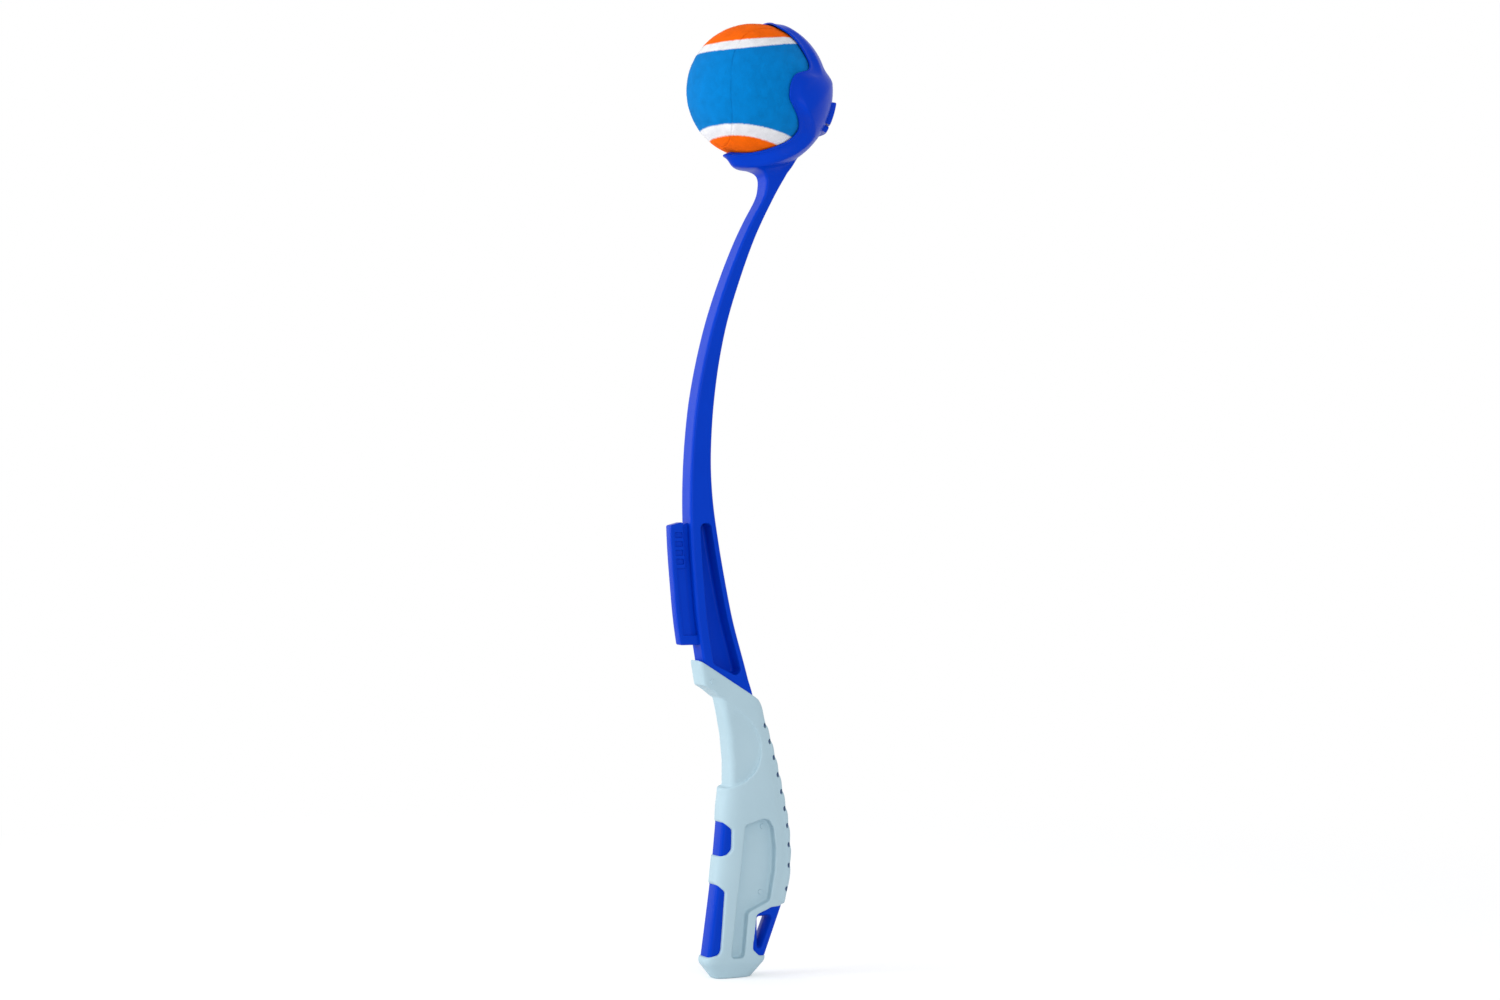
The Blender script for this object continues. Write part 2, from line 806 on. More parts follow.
@dataclass
class BallCup:
    """The snap cup: a shell round the ball, with four lobes, and two plain raised pads on its back. A pad
    is its width, its height and its drop below the ball's centre. A row of the rim is a turn from the
    top and the rim's angle from the way out, in degrees."""

    centre: Vector
    inner: float = 33
    back_shift: float = -0.6
    lip_inner: float = 32.5
    lip_blend: float = math.radians(24)
    lip_corner: float = 0.5
    lip_outer: float = 33.3
    tip_outer: float = 35.4
    lip_run: float = math.radians(12)
    rim_wall: float = 1.4
    swell: float = 1.0
    swell_start: float = math.radians(80)
    swell_end: float = math.radians(132)
    back_wall: float = 5.1
    tip_start: float = math.radians(160)
    tip_slant: float = math.radians(5.5)
    tilt: float = math.radians(19)
    wall_start: float = math.radians(108.7)
    wall_lean: float = math.radians(30.7)
    wall_run: float = math.radians(16)
    pad_height: float = 2.1
    pad_edge: float = 0.6
    pad_root: float = 1
    pad_step: float = 0.8
    pad_columns: int = 36
    pads: tuple[tuple[float, float, float], ...] = ((35, 10.2, 5.2), (32, 2.8, 16.2))
    columns: int = 288
    wall_rows: int = 44
    lip_rows: int = 9
    rim: Profile = field(default_factory=lambda: Profile([
        (0, 82.5), (16, 82.3), (24, 83), (29, 86), (33, 91), (40, 97.5), (46, 102), (52, 107), (58, 112),
        (64, 113.3), (69, 110.8), (74, 105), (79, 99.5), (86, 97), (95, 98), (101, 101), (106, 108),
        (112, 116.5), (119, 123.3), (127, 126.5), (136, 124.3), (144, 118.3), (150, 111.5), (157, 105),
        (163, 99.5), (168, 93.5), (173, 87.5), (180, 82.5),
    ]))

    def placed(self, local: Vector) -> Vector:
        """Turn a point of the cup's own frame, where -X is the way out, to the thrower's."""
        return self.centre + Matrix.Rotation(self.tilt, 3, "Y") @ local

    def outer_radius(self, angle: float, turn: float) -> float:
        """Give the cup's outer radius.

        Args:
            angle: the angle from the way out.
            turn: the turn from the cup's top.

        Returns:
            The radius, which thickens from the rim to the back.
        """
        begin = self.wall_start + self.wall_lean * math.cos(turn)
        thick = smoothstep(angle, begin, begin + self.wall_run)
        slow = self.swell * smoothstep(angle, self.swell_start, self.swell_end)
        wall = self.rim_wall + slow + (self.back_wall - self.rim_wall - slow) * thick
        full = smoothstep(angle - self.rim_angle(turn), 0, self.lip_run)
        lip = self.lip_outer + (self.tip_outer - self.lip_outer) * self.tip_share(turn)
        return lip + (self.inner + wall - lip) * full

    def tip_share(self, turn: float) -> float:
        """Give how much of the lower tongue's tip there is at a turn, from 0 to 1."""
        return smoothstep(math.pi - abs(math.remainder(turn, FULL_TURN)), math.pi - self.tip_start, 0)

    def gap(self, point: Vector) -> float:
        """Give how far a point lies outside the cup's skin.

        Args:
            point: the point, in the thrower's frame.

        Returns:
            The distance, less than zero inside the skin.
        """
        local = Matrix.Rotation(-self.tilt, 3, "Y") @ (point - self.centre)
        angle = math.acos(max(-1.0, min(1.0, -local.x / local.length)))
        return local.length - self.outer_radius(angle, math.atan2(-local.y, local.z))

    def rim_angle(self, turn: float) -> float:
        """Give the rim's angle from the way out at a turn from the top."""
        degrees = math.degrees(turn) % 360
        return math.radians(self.rim.at(min(degrees, 360 - degrees))[0])

    def direction(self, angle: float, turn: float) -> Vector:
        """Give the cup's own direction at an angle from the way out and a turn from its top."""
        across = math.sin(angle)
        return Vector((-math.cos(angle), -across * math.sin(turn), across * math.cos(turn)))

    def inner_radius(self, angle: float, rim: float) -> float:
        """Give the cup's inner radius, which draws in to the ball at the rim."""
        return self.lip_inner + (self.inner - self.lip_inner) * smoothstep(angle - rim, 0, self.lip_blend)

    def shell(self) -> BMesh:
        """Make the shell: inside from its back to the rim, round the lip, and back along its outside.

        Returns:
            The shell, facing out.
        """
        turns = [FULL_TURN * column / self.columns for column in range(self.columns)]
        rims = [self.rim_angle(turn) for turn in turns]
        last = 2 * self.wall_rows + self.lip_rows
        shift = Vector((self.back_shift, 0, 0))
        arc = (self.lip_rows - 1) / 2

        def place(column: int, row: int) -> Vector:
            """Place one point of the shell.

            Args:
                column: how many steps round from the top.
                row: how many steps along, from the middle of the inside to the middle of the outside.

            Returns:
                The point.
            """
            turn, rim = turns[column], rims[column]
            slant = self.tip_slant * self.tip_share(turn)
            if row < self.wall_rows:
                angle = math.pi + (rim + slant - math.pi) * math.sin(math.pi / 2 * row / self.wall_rows)
                inner = self.inner_radius(angle, rim + slant)
                return self.placed(self.direction(angle, turn) * inner + shift)
            if row > self.wall_rows + self.lip_rows:
                share = (last - row) / self.wall_rows
                angle = math.pi + (rim - math.pi) * math.sin(math.pi / 2 * share)
                return self.placed(self.direction(angle, turn) * self.outer_radius(angle, turn))
            inside = self.direction(rim + slant, turn) * self.lip_inner + shift
            outside = self.direction(rim, turn) * self.outer_radius(rim, turn)
            half = (outside - inside) / 2
            over = half.normalized()
            ahead = self.direction(rim - math.pi / 2, turn)
            ahead = (ahead - over * ahead.dot(over)).normalized()
            bend = min(self.lip_corner, half.length)
            step = row - self.wall_rows
            side = -1 if step <= arc else 1
            swing = math.pi / 2 * (step if side < 0 else self.lip_rows - step) / arc
            across = side * (half.length - bend + bend * math.cos(swing))
            return self.placed((inside + outside) / 2 + over * across + ahead * bend * math.sin(swing))

        return skin(self.columns, last, place)

    def pad(self, width: float, depth: float, drop: float) -> BMesh:
        """Make a raised pad: a flat plate with rounded rims, bent over the cup's back.

        Args:
            width: the pad's size across the thrower.
            depth: the pad's height.
            drop: how far its top lies below the ball's centre.

        Returns:
            The pad, facing out.
        """
        made = bmesh.new()
        rows = max(2, int(depth / self.pad_step))
        bmesh.ops.create_grid(made, x_segments=self.pad_columns, y_segments=rows, size=0.5)
        bmesh.ops.scale(made, vec=(width, depth, 1), verts=made.verts)
        thicken(made, (0, 0, self.pad_height + self.pad_root))
        low = self.pad_root / 2
        rims = [
            e for e in made.edges
            if e.calc_face_angle(0) > CREASE and min(v.co.z for v in e.verts) > low
        ]
        rims += [
            e for e in made.edges if abs(e.verts[0].co.z - e.verts[1].co.z) > low
            and all(abs(v.co.x) > width / 2 - WELD and abs(v.co.y) > depth / 2 - WELD for v in e.verts)
        ]
        round_edges(made, rims, self.pad_edge)
        reach = self.inner + self.back_wall
        for vert in made.verts:
            side, up, out = vert.co
            low = -drop - depth / 2 + up
            level = math.sqrt(max(reach ** 2 - side ** 2 - low ** 2, 0))
            on_skin = Vector((level, side, low))
            vert.co = self.centre + on_skin.normalized() * (reach + out - self.pad_root)
        bmesh.ops.recalc_face_normals(made, faces=made.faces)
        return made

    def build(self, material: Material) -> None:
        """Make the cup and dress it.

        Args:
            material: the moulding's finish.
        """
        body = object_of(self.shell(), "snap_cup")
        for width, depth, drop in self.pads:
            combine(body, self.pad(width, depth, drop), Join.ADD)
        finish(body, material, Slot.PLASTIC, "thrower", ["ball_cup"])


@dataclass
class Arm:
    """The curved arm from the collar to the cup, with its pocket and its rail, and the handle core.
    Shares are of the arm's length, in station_shares also of its bow and its foot's depth. Those of the
    edge and of the narrowing fillet are of half the arm's depth and of the fillet."""

    cup: BallCup
    width: float = 10.6
    length: float = 279
    bow: float = 20
    foot_depth: float = 22
    edge: float = 1.25
    edge_share: float = 0.45
    setback: float = 16.2
    pocket_front_wall: float = 5
    pocket_rear_wall: float = 2.8
    pocket_side_wall: float = 1.9
    pocket_corner: float = 2.6
    pocket_root: float = 1.2
    pocket_lip: float = 0.55
    pocket_shares: tuple[float, float] = (0.024, 0.262)
    pocket_foot_share: float = -0.028
    pocket_steps: int = 16
    neck_fillet: float = 4.6
    front_fillet: float = 3.0
    rear_fillet: float = 0.3
    narrowing_share: float = 0.72
    narrowing_start_share: float = -0.2
    neck_start_share: float = 0.822
    climb_lead_share: float = 0.002
    climb_pitch_share: float = 0.0008
    climb_count: int = 118
    graze: float = 0.5
    limb_rows: int = 130
    fillet_rows: int = 30
    fillet_crowding: float = 1.7
    corner_columns: int = 6
    wide_columns: int = 12
    deep_columns: int = 8
    rail_shares: tuple[float, float] = (0.0565, 0.2585)
    rail_rise_share: float = 0.006
    rail_height: float = 9.5
    rail_width: float = 5.4
    rail_flange: float = 6.7
    rail_corner: float = 1.0
    rail_edge: float = 0.5
    rail_web: float = 2.2
    rail_rim: float = 2.1
    rail_recess: float = 1
    rail_stop: float = 4.6
    stop_root: float = 1.5
    stop_drop: float = 0.6
    stop_corner: float = 0.8
    recess_foot: float = 3
    recess_root: float = 0.25
    recess_lip: float = 0.3
    band_steps: int = 60
    notch: float = 2.6
    notch_pitch: float = 4.15
    notch_drop: float = 4.6
    notches: int = 4
    station_shares: Profile = field(default_factory=lambda: Profile([
        (-0.045, -0.17, 0.52), (0, 0, 0.5), (0.097, 0.385, 0.423), (0.158, 0.57, 0.377),
        (0.229, 0.76, 0.327), (0.3, 0.905, 0.272), (0.36, 0.968, 0.238), (0.42, 0.972, 0.22),
        (0.47, 0.938, 0.207), (0.538, 0.828, 0.184), (0.606, 0.646, 0.166), (0.675, 0.372, 0.155),
        (0.744, 0.031, 0.138), (0.779, -0.184, 0.13), (0.82, -0.463, 0.127), (0.835, -0.536, 0.161),
        (0.851, -0.592, 0.226), (0.862, -0.59, 0.31), (0.872, -0.53, 0.46), (0.9, -0.51, 0.685),
        (0.92, -0.51, 0.86),
    ]))

    def __post_init__(self) -> None:
        """Find the collar below the cup."""
        self.collar = Vector((self.cup.centre.x - self.setback, self.cup.centre.z - self.length))
        start = self.neck_start_share - self.climb_lead_share
        self.climb_steps = [start + self.climb_pitch_share * step for step in range(self.climb_count)]
        self.sizes: dict[float, tuple[float, float]] = {}

    def middle_and_half(self, along: float) -> tuple[float, float]:
        """Give the arm's middle and half its depth.

        Args:
            along: the share of the arm's length.

        Returns:
            The middle in X, and half the depth there.
        """
        if along not in self.sizes:
            bow, depth = self.station_shares.at(along)
            middle = self.collar.x + along * self.setback - bow * self.bow
            self.sizes[along] = (middle, depth * self.foot_depth)
        return self.sizes[along]

    def edge_point(self, along: float, side: int, inset: float = 0) -> Point:
        """Give a point of the arm's front (-1) or rear (1) edge, moved in by an inset."""
        middle, half = self.middle_and_half(along)
        return middle + side * (half - inset), self.collar.y + along * self.length

    def section(self) -> list[Column]:
        """Give the columns of the arm's section: two shares of the flat sizes, and a unit arc's place.

        Returns:
            The columns, once round.
        """
        columns = []
        corners = [(1, 1), (-1, 1), (-1, -1), (1, -1)]
        for index, (x, y) in enumerate(corners):
            for step in range(self.corner_columns + 1):
                angle = math.pi / 2 * (index + step / self.corner_columns)
                columns.append((x, y, math.cos(angle), math.sin(angle)))
            to_x, to_y = corners[(index + 1) % len(corners)]
            count, arc = (self.wide_columns, (0, y)) if x != to_x else (self.deep_columns, (x, 0))
            for step in range(1, count):
                share = step / count
                columns.append((x + (to_x - x) * share, y + (to_y - y) * share, *arc))
        return columns

    def surface_point(self, column: Column, along: float, gap: float) -> Vector:
        """Give a point of the arm's skin.

        Args:
            column: the point's column, as section gives it.
            along: the share of the arm's length.
            gap: how far the point is from the cup, which sets how far the fillet stands out.

        Returns:
            The point.
        """
        middle, half = self.middle_and_half(along)
        flat_x, flat_y, arc_x, arc_y = column
        edge = min(self.edge, half * self.edge_share)
        reach_x = self.rear_fillet if arc_x > 0 else self.front_fillet
        narrowing = self.narrowing_share * smoothstep(flat_x, self.narrowing_start_share, 1)
        reach_y = self.neck_fillet * (1 - narrowing)
        out_x = arc_x * fillet(gap, reach_x)
        out_y = arc_y * fillet(gap, reach_y)
        x = middle + flat_x * (half - edge) + arc_x * edge + out_x
        y = flat_y * (self.width / 2 - edge) + arc_y * edge + out_y
        return Vector((x, y, self.collar.y + along * self.length))

    def climb(self, column: Column, gap: float) -> Vector:
        """Find where a column of the neck first comes as close to the cup as a gap.

        Args:
            column: the column, as section gives it.
            gap: the distance from the cup's skin.

        Returns:
            The point, or the closest one where the column only grazes the cup.
        """
        best, nearest = Vector(), math.inf
        before, before_gap = best, math.inf
        for along in self.climb_steps:
            point = self.surface_point(column, along, gap)
            here = self.cup.gap(point)
            if here <= gap:
                share = (before_gap - gap) / (before_gap - here) if before_gap < math.inf else 1
                return before.lerp(point, share)
            if nearest < gap + self.graze and here > nearest + NEAR_ENOUGH:
                return best
            if here < nearest:
                best, nearest = point, here
            before, before_gap = point, here
        return best

    def limb(self) -> BMesh:
        """Make the arm up to the cup, where it spreads in a fillet onto the cup's skin.

        Returns:
            The arm, facing out.
        """
        columns = self.section()
        first = self.station_shares.rows[0][0]
        rings = []
        for row in range(self.limb_rows + 1):
            along = first + (self.neck_start_share - first) * row / self.limb_rows
            rings.append([self.surface_point(column, along, self.foot_depth) for column in columns])
        starts = [self.cup.gap(point) for point in rings[-1]]
        for step in range(1, self.fillet_rows + 1):
            share = (1 - step / self.fillet_rows) ** self.fillet_crowding
            rings.append([self.climb(column, start * share) for column, start in zip(columns, starts)])
        into, wall = self.cup.centre, self.cup.back_wall
        rings.append([point + (into - point).normalized() * wall / 2 for point in rings[-1]])
        return loft(rings)

    def pocket_outline(self) -> list[Point]:
        """Give the outline of the pocket in the near side, which ends lower at the rear.

        Returns:
            The outline, its corners rounded.
        """
        low, high = self.pocket_shares
        steps = [low + (high - low) * step / self.pocket_steps for step in range(self.pocket_steps + 1)]
        rear_steps = [low + self.pocket_foot_share, *steps[1:]]
        front = [self.edge_point(along, -1, self.pocket_front_wall) for along in steps]
        rear = [self.edge_point(along, 1, self.pocket_rear_wall) for along in rear_steps]
        return rounded(rear + front[::-1], self.pocket_corner)

    def band(
        self, start: float, end: float, inner: float, outer: float, rise: float = 0, corner: float = 0.5,
    ) -> list[Point]:
        """Give a band along the arm's front, its corners rounded.

        Args:
            start: its lower end, as a share of the arm's length.
            end: its upper end.
            inner: how far from the arm's front its near side lies.
            outer: how far from the arm's front its far side lies.
            rise: how much higher its upper end is on the near side.
            corner: the radius of its corners.

        Returns:
            The band's outline.
        """
        count = max(2, round((end - start) * self.band_steps))
        shares = [step / count for step in range(count + 1)]
        near = [self.edge_point(start + (end + rise - start) * share, -1, -inner) for share in shares]
        far = [self.edge_point(start + (end - start) * share, -1, -outer) for share in shares]
        return rounded(near + far[::-1], corner)

    def rail(self) -> Object:
        """Make the rail: a flange on a web with a stop, a long recess and a row of small ones.

        Returns:
            The rail, in the scene.
        """
        low, high = self.rail_shares
        rise = self.rail_rise_share
        flange_inner = self.rail_height - self.rail_flange
        stop_top = low + self.rail_stop / self.length
        half = self.rail_width / 2
        flange = self.band(low, high, flange_inner, self.rail_height, rise, self.rail_corner)
        body = object_of(slab(flange, -half, half, self.rail_edge), "rail")
        web = self.band(low, high, -self.pocket_front_wall / 2, flange_inner + OVERRUN, rise)
        combine(body, slab(web, -self.rail_web / 2, self.rail_web / 2), Join.ADD)
        stop_outer = self.rail_height - self.stop_drop
        stop = self.band(low, stop_top, -self.stop_root, stop_outer, corner=self.stop_corner)
        combine(body, slab(stop, -half, half, self.rail_edge), Join.ADD)
        outer = self.rail_height - self.rail_rim
        last = self.notch_drop + (self.notches - 1) * self.notch_pitch
        run_top = high - (last + self.notch + self.rail_web / 4) / self.length
        recesses = [self.band(stop_top, run_top, flange_inner - self.recess_foot, outer)]
        reach = self.notch / 2 / self.length
        inner = flange_inner + self.rail_rim / 3
        for index in range(self.notches):
            middle = high - (self.notch_drop + index * self.notch_pitch) / self.length
            recesses.append(self.band(middle - reach, middle + reach, inner, outer))
        for outline in recesses:
            for side in Side:
                floor = side.value * (half - self.rail_recess)
                levels = dish_levels(floor, side.value * half, self.recess_root, self.recess_lip)
                combine(body, dish(outline, levels), Join.CUT)
        return body

    def build(self, material: Material, handle: "Handle") -> None:
        """Make the arm with its rail and the handle's core, and dress it.

        Args:
            material: the moulding's finish.
            handle: the handle that the core belongs to.
        """
        body = object_of(self.limb(), "arm_and_core")
        combine(body, handle.foot_cutter(), Join.CUT)
        for made in handle.core():
            combine(body, made, Join.ADD)
        combine(body, handle.lanyard_hole(), Join.CUT)
        for side in Side:
            combine(body, handle.core_recess(side, handle.core_width), Join.CUT)
        floor = self.width / 2 - self.pocket_side_wall
        levels = dish_levels(floor, -self.width / 2, self.pocket_root, self.pocket_lip)
        combine(body, dish(self.pocket_outline(), levels), Join.CUT)
        combine(body, self.rail(), Join.ADD)
        finish(body, material, Slot.PLASTIC, "thrower", ["arm_moulding"])


@dataclass
class Handle:
    """The handle: the moulding's core and the soft grip over it. Outlines are shares of the grip's
    depth and length. A row of section_shares is the height, the front, the rear, how far the section
    widens from the core's width to the grip's, and the power that squares it. The room for the arm's
    foot has shares of the arm's length."""

    length: float = 151
    depth: float = 38
    width: float = 17
    core_width: float = 10.6
    skin_thickness: float = 1.1
    scoop_skin: float = 0.95
    core_edge: float = 2.2
    web: float = 4
    floor_skin: float = 1.4
    floor_play: float = 0.3
    scoop_edge: float = 3.0
    ridge_width: float = 13
    ridge_edge: float = 3.2
    ridge_skin: float = 0.8
    scallop: float = 0.6
    scallop_skew: float = 0.65
    hole_width: float = 1.8
    hole_height: float = 2.6
    hole_inset: float = 0.75
    hole_rim: float = 0.9
    hole_flare: float = 0.3
    hole_waist: float = 0.2
    hole_draft: float = 1.2
    mark_diameter: float = 2.6
    mark_height: float = 0.45
    mark_taper_share: float = 0.8
    mark_lift: float = 0.15
    corner: float = 1.8
    clearance: float = 0.06
    foot_start_share: float = -0.045
    foot_run_share: float = 0.2
    pin_reach: float = 3.2
    hole_floor: float = 3.0
    voxel: float = 0.4
    melt: int = 6
    kept_faces_share: float = 0.5
    scoop_steps: int = 72
    front_steps: int = 52
    rear_steps: int = 36
    foot_steps: int = 30
    ridge_steps: int = 10
    hole_steps: int = 6
    rim_segments: int = 6
    body_columns: int = 120
    body_rows: int = 170

    front_shares: Shares = (
        (-0.6, 0.44), (-0.455, 0.385), (-0.4, 0.325), (-0.345, 0.25), (-0.315, 0.175), (-0.312, 0.085),
        (-0.39, 0.055), (-0.425, 0.02), (-0.437, -0.01), (-0.484, -0.132), (-0.516, -0.205),
        (-0.642, -0.43),
    )
    rear_shares: Shares = (
        (-0.1, 0.385), (0.0, 0.33), (0.105, 0.283), (0.245, 0.181), (0.36, 0.072), (0.447, -0.036),
        (0.468, -0.129), (0.434, -0.236), (0.385, -0.288),
    )
    base_shares: Shares = (
        (0.381, -0.293), (0.152, -0.44), (0.07, -0.46), (-0.06, -0.475), (-0.53, -0.475), (-0.6, -0.462),
        (-0.64, -0.446),
    )
    top_shares: Shares = ((-0.62, 0.455), (-0.1, 0.43))
    hole_shares: Shares = ((0.026, -0.315), (0.256, -0.314), (0.088, -0.418), (0.03, -0.418))
    side_pocket_shares: Shares = (
        (-0.166, -0.026), (0.092, -0.008), (0.171, -0.016), (0.226, -0.038), (0.258, -0.1), (0.25, -0.172),
        (0.182, -0.268), (-0.105, -0.298), (-0.124, -0.307), (-0.174, -0.442), (-0.355, -0.442),
        (-0.282, -0.277), (-0.224, -0.156),
    )
    scoop_shares: Shares = (
        (-1, 0.44), (-0.69, 0.412), (-0.49, 0.378), (-0.27, 0.341), (-0.066, 0.295), (0.034, 0.248),
        (0.06, 0.211), (0.034, 0.174), (-0.034, 0.14), (-0.17, 0.112), (-0.4, 0.091), (-1, 0.06),
    )
    scoop_body_shares: Shares = (
        (-0.49, 0.39), (-0.43, 0.323), (-0.379, 0.255), (-0.347, 0.172), (-0.347, 0.1), (-0.35, 0.07),
        (0.15, 0.08), (0.12, 0.25), (0.02, 0.31), (-0.1, 0.345), (-0.3, 0.385),
    )
    window_shares: tuple[Shares, ...] = (
        ((-0.79, 0.054), (-0.332, -0.038), (-0.338, -0.101), (-0.4, -0.117), (-0.79, -0.137)),
        ((-0.79, -0.15), (-0.428, -0.232), (-0.486, -0.413), (-0.515, -0.428), (-0.79, -0.443)),
        (
            (-0.003, -0.309), (0.213, -0.289), (0.79, -0.289), (0.79, -0.444), (0.047, -0.44),
            (-0.054, -0.418),
        ),
    )
    collar_cut_shares: Shares = (
        (-1.2, 0.52), (-0.77, 0.494), (-0.69, 0.482), (-0.013, 0.376), (0.4, 0.31), (0.4, 0.8), (-1.2, 0.8),
    )
    section_shares: Shares = (
        (0.51, -0.775, -0.16, 0, 8), (0.437, -0.735, -0.08, 0, 8), (0.39, -0.7, 0.0, 0, 8),
        (0.345, -0.66, 0.105, 0.15, 6.5), (0.315, -0.63, 0.14, 0.3, 5), (0.25, -0.57, 0.212, 0.6, 3.6),
        (0.14, -0.48, 0.326, 0.95, 3), (0.093, -0.43, 0.372, 1, 3), (0.03, -0.455, 0.42, 1, 3),
        (-0.05, -0.475, 0.473, 1, 3), (-0.13, -0.516, 0.49, 1, 3), (-0.21, -0.555, 0.462, 0.9, 3),
        (-0.29, -0.6, 0.4, 0.75, 3.2), (-0.38, -0.64, 0.27, 0.6, 3.6), (-0.44, -0.675, 0.165, 0.5, 4),
        (-0.453, -0.68, 0.156, 0.5, 4), (-0.457, -0.674, 0.149, 0.46, 4), (-0.47, -0.635, 0.102, 0.2, 3.8),
        (-0.485, -0.59, 0.048, -0.1, 3.5), (-0.501, -0.542, -0.01, -0.4, 3.1),
        (-0.505, -0.53, -0.024, -0.45, 3),
    )
    hole_line_shares: Shares = (
        (0.15, 0.283), (0.217, 0.232), (0.276, 0.181), (0.332, 0.126), (0.382, 0.072),
        (0.428, 0.018), (0.466, -0.036), (0.487, -0.097), (0.488, -0.162), (0.455, -0.236),
    )
    ridge_foot_shares: Shares = ((0.43, -0.285), (0.2, -0.28), (0.05, 0.05), (-0.03, 0.25))
    ridge_top_shares: Shares = ((-0.02, 0.37), (0.07, 0.345), (0.12, 0.325), (0.145, 0.305))
    mark_shares: Shares = ((-0.6, 0.427), (0.12, -0.036), (0.092, -0.242))

    def sized(self, shares: Shares) -> list[Point]:
        """Turn shares of the grip's depth and length to millimetres."""
        return [(x * self.depth, z * self.length) for x, z in shares]

    def cut_outline(self, shares: Shares) -> list[Point]:
        """Give the outline of an opening or a pocket, its corners rounded."""
        return rounded(self.sized(shares), self.corner)

    def scoop_outline(self) -> list[Point]:
        """Give the outline of the finger scoop, a smooth curve."""
        return smooth_line(self.sized(self.scoop_shares), self.scoop_steps)

    def core_outline(self) -> list[Point]:
        """Give the outline of the core.

        Returns:
            The outline, closed.
        """
        front = smooth_line(self.sized(self.front_shares), self.front_steps)
        rear = smooth_line(self.sized(self.rear_shares), self.rear_steps)
        return self.sized(self.top_shares) + rear + self.sized(self.base_shares) + front[::-1]

    def core(self) -> list[BMesh]:
        """Make the core plate and the small pins that fill the grip's holes.

        Returns:
            The plate, then the pins.
        """
        half, reach = self.core_width / 2, self.pin_reach
        pins = [self.hole(place, Side.NEAR, -reach, reach, self.clearance) for place in self.hole_places()]
        return [slab(self.core_outline(), -half, half, self.core_edge, self.rim_segments), *pins]

    def foot_cutter(self, play: float = 0) -> BMesh:
        """Make the cutter that keeps the arm's foot, and with play its room, out of the scoop."""
        return slab(grown(self.scoop_outline(), self.skin_thickness - play), -self.width, self.width)

    def lanyard_hole(self) -> BMesh:
        """Make the cutter of the hole for a wrist cord, narrowest in the middle, its rims rounded.

        Returns:
            The cutter, facing out.
        """
        half = self.core_width / 2
        levels = [(-half - OVERRUN, self.hole_rim + self.hole_flare)]
        for angle in quarter(self.hole_steps):
            drop = self.hole_rim * (1 - math.cos(angle))
            grow = self.hole_rim * (1 - math.sin(angle)) - self.hole_draft * drop / half
            levels.append((-half + drop, grow))
        levels.append((-self.hole_waist, -self.hole_draft))
        levels += [(-y, grow) for y, grow in reversed(levels)]
        return dish(self.cut_outline(self.hole_shares), levels)

    def core_recess(self, side: Side, outer: float, play: float = 0) -> BMesh:
        """Make the cutter of the recess in one side of the core, under the grip's side pocket.

        Args:
            side: the side of the thrower.
            outer: how far from the middle plane it ends.
            play: how much room it leaves round the core.

        Returns:
            The cutter, facing out.
        """
        outline = grown(self.sized(self.side_pocket_shares), self.floor_skin - play)
        return side_slab(outline, side, self.web / 2 + play, outer)

    def body(self) -> BMesh:
        """Make the grip's main body from its level sections.

        Returns:
            The body, facing out.
        """
        narrow = self.core_width + 2 * self.skin_thickness
        section = Profile([(-row[0], *row[1:]) for row in reversed(sorted(self.section_shares))])
        first, last = section.rows[0][0], section.rows[-1][0]

        def place(column: int, row: int) -> Vector:
            """Place one point of the body.

            Args:
                column: how many steps round from the rear.
                row: how many steps down from the collar.

            Returns:
                The point.
            """
            station = first + (last - first) * row / self.body_rows
            front, rear, widening, square = section.at(station)
            angle = FULL_TURN * column / self.body_columns
            half_width = (narrow + (self.width - narrow) * widening) / 2
            ways = (math.cos(angle), math.sin(angle))
            x, y = (math.copysign(abs(way) ** (2 / square), way) for way in ways)
            middle = (front + rear) / 2 * self.depth
            x = middle + (rear - front) / 2 * self.depth * x
            return Vector((x, half_width * y, -station * self.length))

        return skin(self.body_columns, self.body_rows, place)

    def hole_places(self) -> list[Point]:
        """Give the middles of the ten holes in each side of the palm ridge."""
        return [(x - self.hole_inset, z) for x, z in self.sized(self.hole_line_shares)]

    def ridge(self) -> BMesh:
        """Make the palm ridge, its back scalloped between the holes.

        Returns:
            The ridge, facing out.
        """
        steps = (len(self.hole_line_shares) - 1) * self.ridge_steps
        line = smooth_line(self.sized(self.hole_line_shares), steps)
        points = []
        for step, place in enumerate(line):
            before, after = line[max(step - 1, 0)], line[min(step + 1, steps)]
            way = (Vector(after) - Vector(before)).normalized()
            share = (step % self.ridge_steps / self.ridge_steps) ** self.scallop_skew
            bump = self.scallop * math.sin(math.pi * share) + self.ridge_skin
            points.append(tuple(Vector(place) + Vector((-way.y, way.x)) * bump))
        outline = self.sized(self.ridge_top_shares) + points + self.sized(self.ridge_foot_shares)
        half = self.ridge_width / 2
        return slab(outline, -half, half, self.ridge_edge, self.rim_segments)

    def mark(self, place: Point, side: Side, level: float) -> BMesh:
        """Make a small round mark that stands on one side.

        Args:
            place: its middle in X and Z.
            side: the side of the thrower.
            level: how far from the middle plane the surface under it lies.

        Returns:
            The mark, facing out.
        """
        made = bmesh.new()
        radius = self.mark_diameter / 2
        bmesh.ops.create_cone(
            made, cap_ends=True, segments=32, radius1=radius, radius2=radius * self.mark_taper_share,
            depth=2 * self.mark_height,
        )
        turn = Matrix.Rotation(-side.value * math.pi / 2, 4, "X")
        bmesh.ops.transform(made, matrix=turn, verts=made.verts)
        bmesh.ops.translate(made, vec=(place[0], side.value * level, place[1]), verts=made.verts)
        return made

